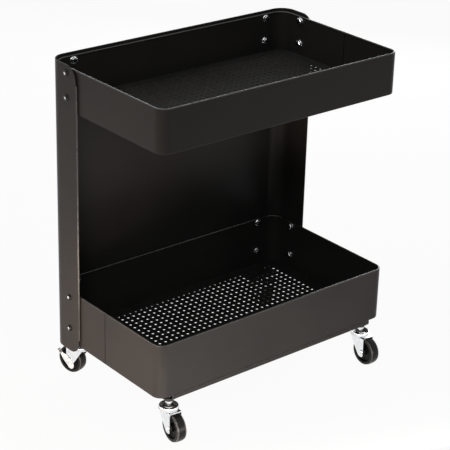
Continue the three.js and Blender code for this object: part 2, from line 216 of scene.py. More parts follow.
def make_finish(name, dark, light, rough, grain, cloud, depth, dust=0.0, metal=0.0, gloss=0.5):
    """A material with two tones, a range of roughness, and a grain with its depth in millimetres."""
    material = bpy.data.materials.new(name)
    material.use_nodes = True
    tree = material.node_tree
    shader = tree.nodes["Principled BSDF"]
    shader.inputs["Metallic"].default_value = metal
    shader.inputs["Specular IOR Level"].default_value = gloss
    place = tree.nodes.new("ShaderNodeTexCoord").outputs["Object"]
    texture = add_effect(tree, surface_grain, place, Grain=grain, Cloud=cloud)
    tone = add_colour_mix(tree, texture.outputs["Tone"], (*dark, 1), (*light, 1))
    if dust:
        film = add_effect(tree, settled_dust, place, Speckle=DUST_SPECKLE, Amount=dust)
        tone = add_colour_mix(tree, film.outputs["Mask"], tone, DUST_TONE)
    tree.links.new(tone, shader.inputs["Base Color"])
    tree.links.new(add_range(tree, texture.outputs["Tone"], 0, 1, *rough), shader.inputs["Roughness"])
    relief = tree.nodes.new("ShaderNodeBump")
    relief.inputs["Strength"].default_value = RELIEF_STRENGTH
    relief.inputs["Distance"].default_value = depth * MM
    tree.links.new(texture.outputs["Height"], relief.inputs["Height"])
    tree.links.new(relief.outputs["Normal"], shader.inputs["Normal"])
    return material


print("dust speckles of about", round(1 / DUST_SPECKLE / MM), "mm")

# %% Mix the paints
black_paint = make_finish(
    "black_paint", (0.036, 0.034, 0.033), (0.043, 0.040, 0.038), (0.34, 0.42),
    grain=900, cloud=9, depth=0.05, dust=0.03, gloss=0.08)
# Rubbed paint for rims, lips and bevels: a thinner, smoother coat, painted lighter as a painted highlight.
rubbed_highlight_paint = make_finish(
    "rubbed_highlight_paint", (0.045, 0.042, 0.040), (0.070, 0.065, 0.062), (0.22, 0.32),
    grain=900, cloud=60, depth=0.03, dust=0.02, gloss=0.5)
# Seam paint: near black, as painted shade in the weld groove.
seam_shade_paint = make_finish(
    "seam_shade_paint", (0.004, 0.004, 0.004), (0.008, 0.008, 0.008), (0.50, 0.60),
    grain=900, cloud=60, depth=0.05, gloss=0.05)
floor_paint = make_finish(
    "floor_paint", (0.030, 0.029, 0.028), (0.038, 0.036, 0.035), (0.42, 0.52),
    grain=900, cloud=12, depth=0.05, dust=0.05, gloss=0.05)
print("paints:", [paint.name for paint in (black_paint, rubbed_highlight_paint, seam_shade_paint, floor_paint)])

# %% Mix the zinc and the rubber
black_zinc = make_finish(
    "black_zinc", (0.012, 0.012, 0.013), (0.028, 0.028, 0.030), (0.08, 0.16),
    grain=2200, cloud=420, depth=0.02, metal=1)
shiny_zinc = make_finish(
    "shiny_zinc", (0.78, 0.79, 0.80), (0.91, 0.92, 0.93), (0.10, 0.22),
    grain=1500, cloud=130, depth=0.02, metal=1)
satin_zinc = make_finish(
    "satin_zinc", (0.72, 0.72, 0.71), (0.84, 0.84, 0.83), (0.36, 0.48),
    grain=1500, cloud=130, depth=0.03, metal=1)
wheel_rubber = make_finish(
    "wheel_rubber", (0.006, 0.0058, 0.0056), (0.010, 0.0095, 0.009), (0.22, 0.34),
    grain=1400, cloud=90, depth=0.04, dust=0.01, gloss=0.16)
# A band at the tread's edge, painted lighter as a painted highlight.
wheel_edge_highlight = make_finish(
    "wheel_edge_highlight", (0.05, 0.048, 0.046), (0.11, 0.105, 0.10), (0.25, 0.40),
    grain=1400, cloud=240, depth=0.04, gloss=0.4)
wheel_centre = make_finish(
    "wheel_centre", (0.004, 0.004, 0.004), (0.006, 0.006, 0.006), (0.30, 0.40),
    grain=1100, cloud=70, depth=0.03, dust=0.01, gloss=0.1)
print("zinc:", [zinc.name for zinc in (black_zinc, shiny_zinc, satin_zinc)])
print("rubber:", [rubber.name for rubber in (wheel_rubber, wheel_edge_highlight, wheel_centre)])

# %% [markdown]
# ## Tools of the bench
# The cart is made of turned parts and of bent sheet. A turned part is a line of points spun about an
# axis. A sheet part could be modelled as a thin block, but an open surface that a Solidify modifier
# thickens needs each fold only once. Hard edges get a small Bevel, because a real edge always catches a
# line of light, and a Weighted Normal modifier keeps the broad faces flat.

# %% Shaping helpers
WELD = 0.002 * MM


def cleaned(bm):
    bmesh.ops.remove_doubles(bm, verts=bm.verts[:], dist=WELD)
    bmesh.ops.recalc_face_normals(bm, faces=bm.faces[:])
    return bm


def facing(bm, direction):
    """Turns an open sheet over if its broadest face looks away from a direction."""
    broadest = max(bm.faces, key=lambda face: face.calc_area())
    if broadest.normal.dot(Vector(direction)) < 0:
        bmesh.ops.reverse_faces(bm, faces=bm.faces[:])
    return bm


def spun(profile, steps):
    """Radius and height pairs in millimetres, spun a full turn about Z."""
    bm = bmesh.new()
    points = [bm.verts.new((radius * MM, 0, height * MM)) for radius, height in profile]
    line = [bm.edges.new(pair) for pair in zip(points, points[1:])]
    bmesh.ops.spin(bm, geom=points + line, cent=(0, 0, 0), axis=(0, 0, 1), angle=math.tau,
                   steps=steps, use_merge=True)
    return cleaned(bm)


def moved(bm, matrix):
    bmesh.ops.transform(bm, matrix=matrix, verts=bm.verts[:])
    return bm


def joined(parts):
    whole = bmesh.new()
    for part in parts:
        carrier = bpy.data.meshes.new("carrier")
        part.to_mesh(carrier)
        part.free()
        whole.from_mesh(carrier)
        bpy.data.meshes.remove(carrier)
    return whole


def along(place, direction):
    """The matrix that stands a piece made on Z at a place, pointing in a direction."""
    turn = Vector((0, 0, 1)).rotation_difference(direction)
    return Matrix.LocRotScale(place, turn, None)


print("points closer than", WELD / MM, "mm are merged")


# %% Edges of a growing mesh
def edges_between(bm, verts):
    """The edges that join the given vertices, in the mesh's own order."""
    inside = set(verts)
    return [edge for edge in bm.edges if inside.issuperset(edge.verts)]


def new_verts_after(bm, action):
    """Runs an operator, and gives the vertices that it added and the edges between them."""
    old = set(bm.verts)
    action()
    fresh = {vert for vert in bm.verts if vert not in old}
    return fresh, edges_between(bm, fresh)


def last_edge(spin_result):
    return next(item for item in spin_result["geom_last"] if isinstance(item, bmesh.types.BMEdge))


def bent_edge(bm, edge, centre, axis, angle, steps):
    """Bends new sheet on from an edge, and gives the edge where the bend ends."""
    return last_edge(bmesh.ops.spin(bm, geom=[edge, *edge.verts], cent=centre, axis=axis,
                                    angle=angle, steps=steps))


def drawn_edge(bm, edge, reach):
    """Draws flat sheet on from an edge, and gives its far edge."""
    fresh, edges = new_verts_after(bm, lambda: bmesh.ops.extrude_edge_only(bm, edges=[edge]))
    bmesh.ops.translate(bm, verts=list(fresh), vec=reach)
    return edges[0]


def rounded_corner(bm, vert, radius, segments):
    bmesh.ops.bevel(bm, geom=[vert], offset=radius, offset_type="OFFSET", segments=segments,
                    profile=0.5, affect="VERTICES", material=-1)


# %% Finishing a piece
SHARP = math.radians(35)
BEVEL_STEPS = 2


def add_piece(bm, name, body, finishes, nodes=(), wall=0, edge=0):
    """Makes the object, thickens and rounds it, hangs it on the body it rides on, and hides the solids it
    stands for.
    """
    mesh = bpy.data.meshes.new(name)
    bm.to_mesh(mesh)
    bm.free()
    mesh.shade_smooth()
    mesh.set_sharp_from_angle(angle=SHARP)
    for finish in finishes:
        mesh.materials.append(finish)
    piece = bpy.data.objects.new(name, mesh)
    bpy.context.scene.collection.objects.link(piece)
    if wall:
        sheet = piece.modifiers.new("sheet", "SOLIDIFY")
        sheet.thickness = wall
        sheet.offset = -1
        sheet.use_even_offset = True
    if edge:
        rounding = piece.modifiers.new("edge", "BEVEL")
        rounding.width = edge
        rounding.segments = BEVEL_STEPS
        rounding.limit_method = "ANGLE"
        rounding.angle_limit = SHARP
        # The bevel faces take the last finish; on the painted sheet that is the rubbed paint, painted
        # lighter as a painted highlight.
        rounding.material = len(finishes) - 1
    piece.modifiers.new("flat_faces", "WEIGHTED_NORMAL").keep_sharp = True
    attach(piece, body)
    if nodes:
        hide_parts(*nodes)
    return piece


print("edges sharper than", round(math.degrees(SHARP)), "degrees stay sharp or get a bevel")

# %% [markdown]
# ## The back panel
# One sheet, bent forward at both sides into a flange. The flange's front corners are cut round, and its
# straight front edge is folded in to a narrow lip, where the paint is rubbed and painted lighter as a
# painted highlight. A box with a hole would be quick, but a folded sheet is made the way a press brake
# makes it: start with the flat back, spin its side edge round the bend, extrude the flange, round its
# corners, then spin and extrude the lip.

# %% Fold the panel
SHEET = 1.5 * MM
PANEL_BEND = 27 * MM
PANEL_BEND_STEPS = 10
FLANGE_ROUND = 25 * MM
FLANGE_TOP_STEPS = 14
FLANGE_FOOT_STEPS = 12
LIP_BEND = 1.8 * MM
LIP_BEND_STEPS = 5
LIP_DEPTH = 2.0 * MM
LIP_SETBACK = 2.2 * MM
LIP_RELIEF = 4 * MM
EDGE_ROUND = 0.4 * MM
UP = (0, 0, 1)


def front_edge(bm, side, front):
    """The longest edge on the front line of one flange."""
    line = [edge for edge in bm.edges if all(
        abs(vert.co.y - front) < WELD and vert.co.x * side > 0 for vert in edge.verts)]
    return max(line, key=lambda edge: edge.calc_length())


def folded_panel():
    low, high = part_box("back_panel")
    bend_x = high.x - PANEL_BEND
    front = low.y + LIP_SETBACK + LIP_BEND
    bm = bmesh.new()
    corners = [(-bend_x, low.z), (-bend_x, high.z), (bend_x, high.z), (bend_x, low.z)]
    bm.faces.new([bm.verts.new((x, high.y, z)) for x, z in corners])
    for side in (-1, 1):
        quarter = -side * math.pi / 2
        edge = next(e for e in bm.edges if all(abs(v.co.x - side * bend_x) < WELD for v in e.verts))
        bend_centre = (side * bend_x, high.y - PANEL_BEND, 0)
        edge = bent_edge(bm, edge, bend_centre, UP, quarter, PANEL_BEND_STEPS)
        edge = drawn_edge(bm, edge, (0, front - high.y + PANEL_BEND, 0))
        foot, top = sorted(edge.verts, key=lambda vert: vert.co.z)
        rounded_corner(bm, top, FLANGE_ROUND, FLANGE_TOP_STEPS)
        rounded_corner(bm, foot, FLANGE_ROUND, FLANGE_FOOT_STEPS)
        for end in front_edge(bm, side, front).verts[:]:
            edge = front_edge(bm, side, front)
            bmesh.utils.edge_split(edge, end, LIP_RELIEF / edge.calc_length())
        edge = front_edge(bm, side, front)
        lip_centre = (side * (high.x - LIP_BEND), front, 0)
        edge = bent_edge(bm, edge, lip_centre, UP, quarter, LIP_BEND_STEPS)
        drawn_edge(bm, edge, (-side * (LIP_DEPTH - LIP_BEND), 0, 0))
    cleaned(bm)
    # The lip's faces take the rubbed paint, painted lighter as a painted highlight.
    for face in bm.faces:
        face.material_index = 1 if face.calc_center_median().y < front else 0
    return facing(bm, (0, 1, 0))


panel = add_piece(folded_panel(), "folded_panel", "cart", [black_paint, rubbed_highlight_paint],
                  ["back_panel"], wall=SHEET, edge=EDGE_ROUND)
print("panel", [round(size / MM) for size in panel.dimensions], "mm")

# %% [markdown]
# ## The tray walls
# Each wall is one strip, bent into a rounded rectangle and butt welded, with a ledge turned in at the
# foot and a rolled hem at the rim. It could be a box with Solidify, but the hem and ledge are what show,
# so the whole section is swept: a rounded outline is extruded ring by ring along the section and bridged
# shut. The weld is a fine groove: four points close together, with the middle two pushed into the wall.
# The groove's faces are painted near black as painted shade, and the hem is painted lighter as a painted
# highlight.

# %% Draw a tray's outline
FRONT_CORNER = 18 * MM
BACK_CORNER = 25 * MM
CORNER_STEPS = 10
SEAM_DEPTH = 0.6 * MM
SEAM_HALF = 0.7 * MM
SEAM_EDGE = 1.1 * MM
SEAMS = {"upper": (1, -15 * MM), "lower": (-1, 1 * MM)}


def corner_at(place):
    return FRONT_CORNER if place.y < 0 else BACK_CORNER


def core_point(place, half, radius):
    """The nearest point to a place in the rectangle of a rounded outline's corner centres."""
    core = (half.x - radius, half.y - radius, 0)
    return Vector([max(-reach, min(reach, part)) for reach, part in zip(core, place)])


def tray_outline(half, seam_side, seam):
    """The tray's plan about the origin: its back corners are rounder than the front ones."""
    bm = bmesh.new()
    bmesh.ops.create_grid(bm, x_segments=1, y_segments=1, size=1)
    bmesh.ops.scale(bm, vec=(half.x, half.y, 1), verts=bm.verts[:])
    for vert in bm.verts[:]:
        rounded_corner(bm, vert, corner_at(vert.co), CORNER_STEPS)
    bmesh.ops.delete(bm, geom=bm.faces[:], context="FACES_ONLY")
    for point in (-SEAM_EDGE, -SEAM_HALF, SEAM_HALF, SEAM_EDGE):
        place = seam + point
        edge = next(e for e in bm.edges if all(abs(v.co.x - seam_side * half.x) < WELD for v in e.verts)
                    and min(v.co.y for v in e.verts) < place < max(v.co.y for v in e.verts))
        start, end = edge.verts
        bmesh.utils.edge_split(edge, start, (place - start.co.y) / (end.co.y - start.co.y))
    return bm


print("seams at", {tray: round(seam / MM) for tray, (side, seam) in SEAMS.items()}, "mm")

# %% Draw a wall's section
LEDGE = 12
WALL = 1.5
FOOT_BEND = 1.7
FOOT_STEPS = (5, 4)
HEM_DROP = 3.2
HEM_ROUND = 1.5
HEM_STEPS = 8
HEM_CUT = (0.4, 0.5)


def arc(centre_depth, centre_height, radius, start, end, steps):
    """Points of a section's bend, as depth into the wall and height, with angles in degrees."""
    points = []
    for step in range(steps + 1):
        angle = math.radians(start + (end - start) * step / steps)
        points.append((centre_depth + radius * math.cos(angle), centre_height + radius * math.sin(angle)))
    return points


def wall_section(height):
    """The wall's section in millimetres: out along the ledge, up, over the hem and down inside."""
    hem_foot = height - HEM_DROP
    return [
        (LEDGE, 0), *arc(FOOT_BEND, FOOT_BEND, FOOT_BEND, 270, 180, FOOT_STEPS[0]),
        *arc(HEM_ROUND, height - HEM_ROUND, HEM_ROUND, 180, 0, HEM_STEPS),
        (2 * HEM_ROUND, hem_foot + HEM_CUT[1]), (2 * HEM_ROUND - HEM_CUT[0], hem_foot), (WALL, hem_foot),
        *arc(FOOT_BEND, FOOT_BEND, FOOT_BEND - WALL, 180, 270, FOOT_STEPS[1]), (LEDGE, WALL),
    ]


print("wall section:", len(wall_section(HEM_DROP)), "points")


# %% Sweep the section round each tray
def swept_wall(node, seam_side, seam):
    low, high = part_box(node)
    middle, half = (low + high) / 2, (high - low) / 2
    bm = tray_outline(half, seam_side, seam)
    outline = bm.verts.layers.float_vector.new("outline")
    outward = bm.verts.layers.float_vector.new("outward")
    groove = bm.verts.layers.float.new("groove")
    for vert in bm.verts:
        corner = corner_at(vert.co)
        vert[outline] = vert.co
        vert[outward] = (vert.co - core_point(vert.co, half, corner)).normalized()
        beside = vert.co.x * seam_side > half.x - corner
        in_seam = beside and abs(vert.co.y - seam) < (SEAM_HALF + SEAM_EDGE) / 2
        vert[groove] = SEAM_DEPTH if in_seam else 0
    ring, verts = bm.edges[:], set(bm.verts)
    first = ring
    for index, (depth, height) in enumerate(wall_section((high.z - low.z) / MM)):
        if index:
            verts, ring = new_verts_after(bm, lambda: bmesh.ops.extrude_edge_only(bm, edges=ring))
        push = 1 if depth < WALL else -1 if depth < 2 * WALL else 0
        for vert in verts:
            vert.co = vert[outline] - vert[outward] * (depth * MM + push * vert[groove])
            vert.co.z = low.z + height * MM
    bmesh.ops.bridge_loops(bm, edges=first + ring)
    bmesh.ops.translate(bm, verts=bm.verts[:], vec=(0, middle.y, 0))
    cleaned(bm)
    # The hem's faces take the rubbed paint, painted lighter as a painted highlight.
    hem_line = high.z - HEM_ROUND * MM
    # Faces in the weld groove take the seam paint, near black as painted shade.
    for face in bm.faces:
        centre = face.calc_center_median()
        beside = centre.x * seam_side > half.x - 2 * WALL * MM
        in_seam = beside and abs(centre.y - middle.y - seam) < SEAM_HALF
        face.material_index = 1 if centre.z > hem_line else 2 if in_seam else 0
    return bm


for tray, (seam_side, seam) in SEAMS.items():
    wall = add_piece(swept_wall(f"{tray}_tray_wall", seam_side, seam), f"{tray}_rolled_wall", "cart",
                     [black_paint, rubbed_highlight_paint, seam_shade_paint], [f"{tray}_tray_wall"])
    print(wall.name, len(wall.data.polygons), "faces")

# %% [markdown]
# ## The perforated floors
# The floors are sheet punched with small round holes on a square grid. A texture with alpha would be
# cheap, but holes are seen from above and below, so they are cut: a grid has one face for each hole,
# every face is inset, the inner square is rounded to twelve points on a circle, and the middle is
# deleted. The grid's rim is then extruded out to the wall, with round corners.

# %% Punch a grid of holes
HOLE_PITCH = 12 * MM
HOLE_RADIUS = 2.5 * MM
HOLE_ROWS = 21
HOLE_CUTS = 2


def punched_grid(columns, half_x, half_y):
    """A sheet about the origin, with one round hole for each face of a grid."""
    bm = bmesh.new()
    bmesh.ops.create_grid(bm, x_segments=columns, y_segments=HOLE_ROWS, size=1)
    bmesh.ops.scale(bm, vec=(half_x, half_y, 1), verts=bm.verts[:])
    holes = bm.faces[:]
    bmesh.ops.inset_individual(bm, faces=holes, thickness=HOLE_PITCH / 2 - HOLE_RADIUS,
                               use_even_offset=True)
    hole_edges = [edge for face in holes for edge in face.edges]
    bmesh.ops.bisect_edges(bm, edges=hole_edges, cuts=HOLE_CUTS)
    for face in holes:
        centre = face.calc_center_bounds()
        spoke = (face.loops[0].vert.co - centre).normalized()
        step = math.tau / len(face.loops)
        for index, loop in enumerate(face.loops):
            loop.vert.co = centre + Matrix.Rotation(index * step, 3, "Z") @ spoke * HOLE_RADIUS
    bmesh.ops.delete(bm, geom=holes, context="FACES_ONLY")
    return bm


print("holes", 2 * HOLE_RADIUS / MM, "mm wide")

# %% Fit a floor to each tray
FLOOR_INSET = 1.8 * MM
UPPER_GRID = (38, -1.2 * MM, 3.0 * MM)
LOWER_GRID = (37, 0.0, 1.5 * MM)


def punched_floor(node, columns, shift_x, shift_y):
    low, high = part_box(node)
    middle, half = (low + high) / 2, (high - low) / 2
    half_x, half_y = columns * HOLE_PITCH / 2, HOLE_ROWS * HOLE_PITCH / 2
    bm = punched_grid(columns, half_x, half_y)
    outermost = [vert for vert in bm.verts
                 if max(abs(vert.co.x) - half_x, abs(vert.co.y) - half_y) > -WELD]
    rim = [edge for edge in edges_between(bm, outermost) if edge.is_boundary]
    fresh, _ = new_verts_after(bm, lambda: bmesh.ops.extrude_edge_only(bm, edges=rim))
    bmesh.ops.scale(bm, vec=(half.x / half_x, half.y / half_y, 1), verts=list(fresh))
    punched = [vert for vert in bm.verts if vert not in fresh]
    bmesh.ops.translate(bm, verts=punched, vec=(shift_x, shift_y, 0))
    for vert in fresh:
        radius = corner_at(vert.co) - FLOOR_INSET
        nearest = core_point(vert.co, half, radius)
        vert.co = nearest + (vert.co - nearest).normalized() * radius
    bmesh.ops.translate(bm, verts=bm.verts[:], vec=(0, middle.y, high.z))
    return facing(cleaned(bm), UP), high.z - low.z


for tray, grid in (("upper", UPPER_GRID), ("lower", LOWER_GRID)):
    sheet, thickness = punched_floor(f"{tray}_tray_floor", *grid)
    floor = add_piece(sheet, f"{tray}_punched_floor", "cart", [floor_paint],
                      [f"{tray}_tray_floor"], wall=thickness)
    print(floor.name, grid[0] * HOLE_ROWS, "holes")

# %% [markdown]
# ## Screws, nuts and spacers
# Every tray hangs on eight screws: through the flanges, with a spacer between flange and wall, and
# through the back. A screw is a domed head, spun, with a cross recess, and a threaded end that shows
# past the nut inside. The recess could be cut by a boolean, but a cross of five squares that is extruded
# down and drawn in gives cleaner faces, which take bright satin zinc as a painted glint. The thread is
# a row of shallow turned rings, which at this size looks the same as a helix.

# %% Turn a screw
HEAD_RADIUS = 5.7
HEAD_HEIGHT = 2.8
HEAD_FLAT = 3.0
HEAD_STEPS = 24
DOME = ((-0.2, 0), (0, 0.25), (-0.1, 1.0), (-0.55, 1.8), (-1.3, 2.45))
SHANK_RADIUS = 3.0
THREAD_PITCH = 1.0
THREAD_DEPTH = 0.35
NUT_HEIGHT = 5.0
SCREW_TIP = 1.5
TIP_CUT = (0.7, 0.4)


def screw_body(grip):
    """The tip, the thread, the shank and the dome, up to the small flat that holds the recess."""
    end = grip + NUT_HEIGHT + SCREW_TIP
    profile = [(0, -end), (SHANK_RADIUS - TIP_CUT[0], -end)]
    height = TIP_CUT[1] - end
    while height < -grip:
        profile += [(SHANK_RADIUS - THREAD_DEPTH, height), (SHANK_RADIUS, height + THREAD_PITCH / 2)]
        height += THREAD_PITCH
    dome = [(HEAD_RADIUS + step_in, rise) for step_in, rise in DOME]
    return spun([*profile, (SHANK_RADIUS, 0), *dome, (HEAD_FLAT, HEAD_HEIGHT)], HEAD_STEPS)


print("screw head", 2 * HEAD_RADIUS, "mm across")

# %% Press a screw's recess
RECESS_REACH = 2.4
RECESS_HALF = 0.8
RECESS_DEPTH = 1.2
RECESS_TAPER = 0.6


def screw_recess():
    """The flat on top of the dome, with a cross pressed into it, its faces painted bright as a painted
    glint.
    """
    bm = bmesh.new()
    bmesh.ops.create_grid(bm, x_segments=3, y_segments=3, size=1)
    for vert in bm.verts:
        for axis in (0, 1):
            reach = RECESS_REACH if abs(vert.co[axis]) > 0.5 else RECESS_HALF
            vert.co[axis] = math.copysign(reach * MM, vert.co[axis])
    corners = [face for face in bm.faces
               if min(map(abs, face.calc_center_median()[:2])) > RECESS_HALF * MM]
    bmesh.ops.delete(bm, geom=corners, context="FACES")
    cross = bm.faces[:]
    inner = [edge for edge in bm.edges if edge.is_boundary]
    circle = bmesh.ops.create_circle(bm, cap_ends=False, segments=HEAD_STEPS, radius=HEAD_FLAT * MM)
    outer = edges_between(bm, circle["verts"])
    bmesh.ops.triangle_fill(bm, use_beauty=True, edges=inner + outer, normal=UP)
    pressed = bmesh.ops.extrude_face_region(bm, geom=cross)["geom"]
    bmesh.ops.delete(bm, geom=cross, context="FACES")
    pit = [item for item in pressed if isinstance(item, bmesh.types.BMVert)]
    bmesh.ops.scale(bm, vec=(RECESS_TAPER, RECESS_TAPER, 1), verts=pit)
    bmesh.ops.translate(bm, verts=pit, vec=(0, 0, -RECESS_DEPTH * MM))
    # The pit's faces take the second finish, bright satin zinc as a painted glint.
    for face in bm.faces:
        face.material_index = 1 if face.calc_center_median().z < -WELD else 0
    return moved(bm, Matrix.Translation((0, 0, HEAD_HEIGHT * MM)))


print("recess", 2 * RECESS_REACH, "mm across")

# %% Model a nut
NUT_FLATS = 10.0
NUT_CHAMFER = 0.6
NUT_END = 0.9
BORE_GAP = 0.1
BORE_STEPS = 18
BRIM_RADIUS = 6.4
BRIM_INNER = 4.4
BRIM = ((BRIM_INNER, 0), (BRIM_RADIUS, 0), (BRIM_RADIUS, 0.6), (BRIM_RADIUS - 0.4, 1.0),
        (BRIM_INNER, 1.6), (BRIM_INNER, 0))


def hex_nut(grip):
    """Hexagon rings from the wall inwards, chamfered at the end, with a round bore and a brim."""
    corner = NUT_FLATS / 2 / math.cos(math.pi / 6) * MM
    end = -(grip + NUT_HEIGHT) * MM
    bm = bmesh.new()
    bmesh.ops.create_circle(bm, cap_ends=False, segments=6, radius=corner)
    near = ring = bm.edges[:]
    for height, shrink in ((end + NUT_CHAMFER * MM, 1.0), (end, NUT_END)):
        fresh, ring = new_verts_after(bm, lambda: bmesh.ops.extrude_edge_only(bm, edges=ring))
        for vert in fresh:
            vert.co = Vector((vert.co.x * shrink, vert.co.y * shrink, height))
    bmesh.ops.translate(bm, verts=list({v for e in near for v in e.verts}), vec=(0, 0, -grip * MM))
    circle = bmesh.ops.create_circle(bm, cap_ends=False, segments=BORE_STEPS,
                                     radius=(SHANK_RADIUS + BORE_GAP) * MM)
    bmesh.ops.translate(bm, verts=circle["verts"], vec=(0, 0, -grip * MM))
    mouth = edges_between(bm, circle["verts"])
    fresh, bore = new_verts_after(bm, lambda: bmesh.ops.extrude_edge_only(bm, edges=mouth))
    bmesh.ops.translate(bm, verts=list(fresh), vec=(0, 0, -NUT_HEIGHT * MM))
    for loops in (near + mouth, ring + bore):
        bmesh.ops.triangle_fill(bm, use_beauty=True, edges=loops, normal=UP)
    brim = spun([(radius, -grip - depth) for radius, depth in BRIM], HEAD_STEPS)
    return joined([cleaned(bm), brim])


print("nut", NUT_FLATS, "mm across its flats")

# %% Set the screws, nuts and spacers
SPACER_RADIUS = 7.0
SPACER_BORE = 3.3
SPACER_ROUND = 0.8

panel_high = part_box("back_panel")[1]
wall_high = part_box("upper_tray_wall")[1]
spacer_start, spacer_end = -SHEET / MM, -(panel_high.x - wall_high.x) / MM
SPACER = ((SPACER_BORE, spacer_start), (SPACER_RADIUS, spacer_start),
          (SPACER_RADIUS, spacer_end + SPACER_ROUND), (SPACER_RADIUS - SPACER_ROUND, spacer_end),
          (SPACER_BORE, spacer_end), (SPACER_BORE, spacer_start))
screw_names = sorted(name for name in frame["nodes"] if name.startswith("screw_"))
spacers = []
for name in screw_names:
    low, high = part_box(name)
    seat = (low + high) / 2
    through_flange = "_side_" in name
    if through_flange:
        outward = Vector((math.copysign(1, seat.x), 0, 0))
        seat.x = outward.x * panel_high.x
        length = high.x - low.x
    else:
        outward = Vector((0, 1, 0))
        seat.y = panel_high.y
        length = high.y - low.y
    grip = length / MM - HEAD_HEIGHT - NUT_HEIGHT - SCREW_TIP
    stand = along(seat, outward)
    screw = cleaned(joined([screw_body(grip), screw_recess()]))
    # Satin zinc in the screw's recess is a painted glint.
    add_piece(moved(screw, stand), name.replace("screw_", "machine_screw_"), "cart",
              [black_zinc, satin_zinc], [name])
    nut_name = name.replace("screw_", "nut_")
    add_piece(moved(hex_nut(grip), stand), nut_name.replace("nut_", "hex_nut_"), "cart",
              [shiny_zinc], [nut_name])
    if through_flange:
        spacers.append(moved(spun(SPACER, HEAD_STEPS), stand))
add_piece(joined(spacers), "flange_spacers", "cart", [black_paint])
print(len(screw_names), "screws with nuts,", len(spacers), "spacers")

# %% [markdown]
# ## The caster channel and brackets
# A shallow channel runs under the front of the lower tray, and a short bracket of the same section sits
# at each rear corner. A funnel-shaped socket for the caster stem hangs from each end. The section is
# three flat strips with two folds. A curve with a profile would sweep it too, but a line of four points
# that is extruded along the cart and bevelled at its folds keeps flat faces and square ends. The sockets
# are turned, with a small brim that hides the joint.

# %% Fold the channel and turn the sockets
CHANNEL_HEIGHT = 9 * MM
CHANNEL_FOLD = 4 * MM
CHANNEL_FOLD_STEPS = 4
CHANNEL_END = 218 * MM
BRACKET_INNER = 165 * MM
SOCKET = ((6.55, 1.6), (13.5, 1.6), (13.5, -0.2), (13.2, -0.6), (12.0, -1.2), (10.4, -2.5), (9.0, -4.1),
          (8.0, -5.6), (7.5, -6.4), (7.1, -7.0), (6.55, -7.0), (6.55, 1.6))
SOCKET_STEPS = 40
CARRIERS = {
    "front_caster_channel": (-CHANNEL_END, CHANNEL_END, ("front_left", "front_right")),
    "rear_left_caster_bracket": (-CHANNEL_END, -BRACKET_INNER, ("rear_left",)),
    "rear_right_caster_bracket": (BRACKET_INNER, CHANNEL_END, ("rear_right",)),
}


def folded_channel(node, start, end):
    low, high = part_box(node)
    web = high.z - CHANNEL_HEIGHT
    bm = bmesh.new()
    section = [(low.y, high.z), (low.y, web), (high.y, web), (high.y, high.z)]
    points = [bm.verts.new((start, y, z)) for y, z in section]
    line = [bm.edges.new(pair) for pair in zip(points, points[1:])]
    fresh, _ = new_verts_after(bm, lambda: bmesh.ops.extrude_edge_only(bm, edges=line))
    bmesh.ops.translate(bm, verts=list(fresh), vec=(end - start, 0, 0))
    folds = [edge for edge in bm.edges if len(edge.link_faces) == 2]
    bmesh.ops.bevel(bm, geom=folds, offset=CHANNEL_FOLD, offset_type="OFFSET",
                    segments=CHANNEL_FOLD_STEPS, profile=0.5, affect="EDGES", material=-1)
    return facing(cleaned(bm), (0, 0, -1))


def stem_socket(web):
    """A funnel under the web, whose height is in millimetres, with a brim a little proud of it."""
    return spun([(radius, web + height) for radius, height in SOCKET], SOCKET_STEPS)


for node, (start, end, corners) in CARRIERS.items():
    # The channel's bevels take the rubbed paint, painted lighter as a painted highlight.
    add_piece(folded_channel(node, start, end), node.replace("caster", "folded"), "cart",
              [black_paint, rubbed_highlight_paint], [node], wall=SHEET, edge=EDGE_ROUND)
    web = (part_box(node)[1].z - CHANNEL_HEIGHT) / MM
    stems = [sum(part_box(f"stem_{corner}"), Vector()) / 2 for corner in corners]
    sockets = [moved(stem_socket(web), Matrix.Translation((stem.x, stem.y, 0))) for stem in stems]
    add_piece(joined(sockets), f"{node}_sockets", "cart", [black_paint])
    print(node, "web at", round(web, 1), "mm")

# %% [markdown]
# ## Turned parts of a caster
# A caster is a stem with a race, a pressed dish that turns on it, a fork, a rivet for an axle, and a
# wheel. Stem, dish, rivet and wheel are round, so each is a profile in millimetres that is spun. A
# cylinder with bevels would miss the small steps that catch the light. On the wheel, the faces take one
# of three finishes by their distance from the axle: tread, moulded centre, and a band at the tread's
# edge that is painted lighter as a painted highlight.

# %% Turn the stem, the dish and the rivet
ROUND_STEPS = 36
STEM = ((0, 47.68), (5.3, 47.68), (5.8, 48.1), (5.8, 48.9), (5.4, 49.28), (4.2, 49.28), (4.2, 52.08),
        (10.6, 52.08), (11, 52.3), (11, 52.8), (10.6, 53.1), (8.6, 53.5), (7.2, 54.1), (6.5, 54.9),
        (6.25, 55.8), (6.25, 74.5), (7.4, 74.5), (7.6, 74.8), (7.6, 75.6), (7.4, 75.9), (6.25, 75.9),
        (6.25, 79.0), (5.7, 79.5), (0, 79.5))
DISH = ((4.6, 49.58), (9.4, 49.58), (10.4, 49.8), (15.6, 50.9), (16.3, 51.5), (16.5, 52.2), (16.5, 55.6),
        (16.3, 56.5), (15.9, 56.95), (15.4, 56.9), (14.8, 56.3), (13.2, 54.5), (12.2, 53.5), (11.5, 52.9),
        (11.3, 51.78), (4.6, 51.78), (4.6, 49.58))
RIVET_HEAD = ((0, 0.9), (1.0, 0.9), (1.5, 1.4), (2.7, 1.3), (3.6, 0.95), (4.2, 0.35), (4.2, 0), (2.5, 0))
RIVET_GRIP = 12.5
RIVET_STEPS = 28


